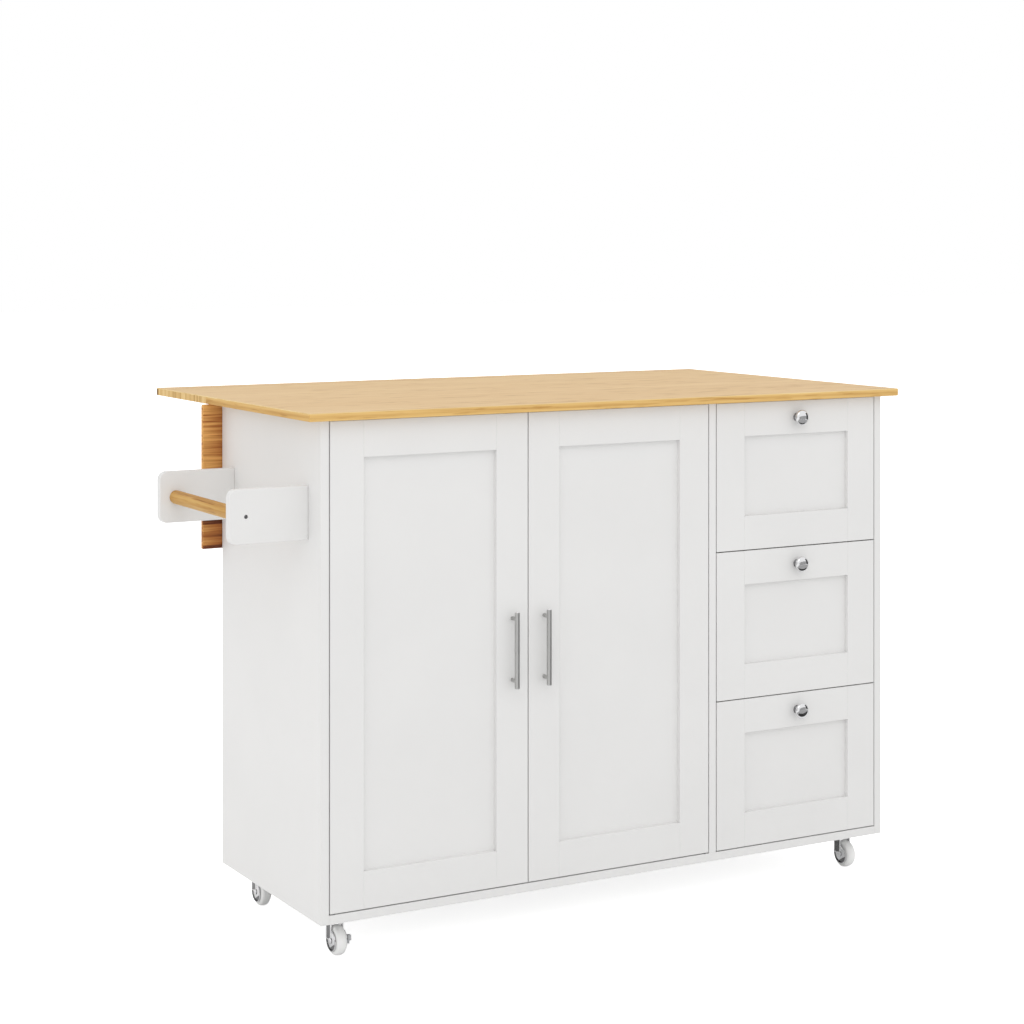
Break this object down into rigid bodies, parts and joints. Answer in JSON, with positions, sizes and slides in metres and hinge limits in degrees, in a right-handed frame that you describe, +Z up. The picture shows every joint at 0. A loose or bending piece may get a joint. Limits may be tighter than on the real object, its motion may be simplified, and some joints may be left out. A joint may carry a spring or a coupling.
{
  "type": "kitchen island cart",
  "caption": "White rolling kitchen island with a wood worktop, folding rear leaf, framed doors and drawers, side towel rack, swing-out leaf supports and casters.",
  "frame": {"origin": "on the floor under the middle of the outline of the whole island, leaf raised", "axes": "+X along the island's length towards the drawers, +Y to the back where the leaf is, +Z up"},
  "size_m": [1.3504, 0.716, 0.92],
  "materials": {
    "white_lacquer": "satin white lacquer on board",
    "worktop_wood": "clear satin lacquer on jointed light hardwood",
    "support_wood": "clear satin lacquer on light hardwood",
    "dowel_wood": "clear satin lacquer on turned hardwood",
    "polished_chrome": "polished",
    "satin_nickel": "satin",
    "zinc_steel": "zinc plated, dull",
    "white_nylon": "moulded, matte",
    "grey_plastic": "moulded, matte",
    "black_plastic": "moulded, matte",
    "plain_board": "pale melamine on board"
  },
  "bodies": {
    "cabinet": {"side_panel_left": "white_lacquer", "side_panel_right": "white_lacquer", "partition_panel": "white_lacquer", "bottom_panel": "white_lacquer", "back_panel": "white_lacquer", "top_rails": "white_lacquer", "countertop": "worktop_wood", "shelf": "white_lacquer", "shelf_pins": "zinc_steel", "towel_brackets": "white_lacquer", "towel_dowel": "dowel_wood", "towel_screws": "zinc_steel", "drawer_runners_fixed": "zinc_steel", "door_pivot_pins": "zinc_steel", "door_catch": "white_nylon", "leaf_hinge_plates_fixed": "zinc_steel", "leaf_hinge_pins": "zinc_steel", "wing_hinge_plates_fixed": "zinc_steel", "wing_hinge_pins": "zinc_steel", "caster_plates": "zinc_steel", "caster_screws": "zinc_steel"},
    "door_left": {"door_left_frame": "white_lacquer", "door_left_panel": "white_lacquer", "door_left_handle": "satin_nickel", "door_left_bushes": "black_plastic", "door_left_strike": "zinc_steel"},
    "door_right": {"door_right_frame": "white_lacquer", "door_right_panel": "white_lacquer", "door_right_handle": "satin_nickel", "door_right_bushes": "black_plastic", "door_right_strike": "zinc_steel"},
    "drawer_1": {"drawer_1_front": "white_lacquer", "drawer_1_box": "plain_board", "drawer_1_knob": "polished_chrome", "drawer_1_runners": "zinc_steel"},
    "drawer_2": {"drawer_2_front": "white_lacquer", "drawer_2_box": "plain_board", "drawer_2_knob": "polished_chrome", "drawer_2_runners": "zinc_steel"},
    "drawer_3": {"drawer_3_front": "white_lacquer", "drawer_3_box": "plain_board", "drawer_3_knob": "polished_chrome", "drawer_3_runners": "zinc_steel"},
    "leaf": {"drop_leaf": "worktop_wood", "leaf_hinge_plates_moving": "zinc_steel"},
    "wing_left": {"wing_left": "support_wood", "wing_left_hinges": "zinc_steel"},
    "wing_right": {"wing_right": "support_wood", "wing_right_hinges": "zinc_steel"},
    "caster_front_left": {"caster_front_left_fork": "polished_chrome"},
    "caster_front_left_wheel": {"caster_front_left_wheel": "white_nylon"},
    "caster_front_left_brake": {"caster_front_left_brake": "grey_plastic"},
    "caster_front_right": {"caster_front_right_fork": "polished_chrome"},
    "caster_front_right_wheel": {"caster_front_right_wheel": "white_nylon"},
    "caster_rear_left": {"caster_rear_left_fork": "polished_chrome"},
    "caster_rear_left_wheel": {"caster_rear_left_wheel": "white_nylon"},
    "caster_rear_right": {"caster_rear_right_fork": "polished_chrome"},
    "caster_rear_right_wheel": {"caster_rear_right_wheel": "white_nylon"},
    "caster_rear_right_brake": {"caster_rear_right_brake": "grey_plastic"}
  },
  "joints": [
    {"name": "door_left_hinge", "type": "hinge", "parent": "cabinet", "child": "door_left", "pos_m": [-0.50925, -0.3315, 0.087], "axis": [0, 0, -1], "range_deg": [0, 110]},
    {"name": "door_right_hinge", "type": "hinge", "parent": "cabinet", "child": "door_right", "pos_m": [0.23375, -0.3315, 0.087], "axis": [0, 0, 1], "range_deg": [0, 90]},
    {"name": "drawer_1_slide", "type": "slide", "parent": "cabinet", "child": "drawer_1", "axis": [0, -1, 0], "range_m": [0, 0.3]},
    {"name": "drawer_2_slide", "type": "slide", "parent": "cabinet", "child": "drawer_2", "axis": [0, -1, 0], "range_m": [0, 0.3]},
    {"name": "drawer_3_slide", "type": "slide", "parent": "cabinet", "child": "drawer_3", "axis": [0, -1, 0], "range_m": [0, 0.3]},
    {"name": "leaf_fold", "type": "hinge", "parent": "cabinet", "child": "leaf", "pos_m": [0.05275, 0.099, 0.896], "axis": [1, 0, 0], "range_deg": [-90, 0]},
    {"name": "wing_left_swing", "type": "hinge", "parent": "cabinet", "child": "wing_left", "pos_m": [-0.33825, 0.092, 0.643], "axis": [0, 0, -1], "range_deg": [0, 90]},
    {"name": "wing_right_swing", "type": "hinge", "parent": "cabinet", "child": "wing_right", "pos_m": [0.44375, 0.092, 0.643], "axis": [0, 0, 1], "range_deg": [0, 90]},
    {"name": "caster_front_left_swivel", "type": "hinge", "parent": "cabinet", "child": "caster_front_left", "pos_m": [-0.47905, -0.266, 0.0652], "axis": [0, 0, 1], "continuous": true},
    {"name": "caster_front_left_roll", "type": "hinge", "parent": "caster_front_left", "child": "caster_front_left_wheel", "pos_m": [-0.47905, -0.282, 0.025], "axis": [1, 0, 0], "continuous": true},
    {"name": "caster_front_left_brake_press", "type": "hinge", "parent": "caster_front_left", "child": "caster_front_left_brake", "pos_m": [-0.47905, -0.282, 0.025], "axis": [1, 0, 0], "range_deg": [0, 40]},
    {"name": "caster_front_right_swivel", "type": "hinge", "parent": "cabinet", "child": "caster_front_right", "pos_m": [0.59425, -0.266, 0.0652], "axis": [0, 0, 1], "continuous": true},
    {"name": "caster_front_right_roll", "type": "hinge", "parent": "caster_front_right", "child": "caster_front_right_wheel", "pos_m": [0.59425, -0.282, 0.025], "axis": [1, 0, 0], "continuous": true},
    {"name": "caster_rear_left_swivel", "type": "hinge", "parent": "cabinet", "child": "caster_rear_left", "pos_m": [-0.47905, 0.0555, 0.0652], "axis": [0, 0, 1], "continuous": true},
    {"name": "caster_rear_left_roll", "type": "hinge", "parent": "caster_rear_left", "child": "caster_rear_left_wheel", "pos_m": [-0.47905, 0.0395, 0.025], "axis": [1, 0, 0], "continuous": true},
    {"name": "caster_rear_right_swivel", "type": "hinge", "parent": "cabinet", "child": "caster_rear_right", "pos_m": [0.59425, 0.0555, 0.0652], "axis": [0, 0, 1], "continuous": true},
    {"name": "caster_rear_right_roll", "type": "hinge", "parent": "caster_rear_right", "child": "caster_rear_right_wheel", "pos_m": [0.59425, 0.0395, 0.025], "axis": [1, 0, 0], "continuous": true},
    {"name": "caster_rear_right_brake_press", "type": "hinge", "parent": "caster_rear_right", "child": "caster_rear_right_brake", "pos_m": [0.59425, 0.0395, 0.025], "axis": [1, 0, 0], "range_deg": [0, 40]}
  ]
}
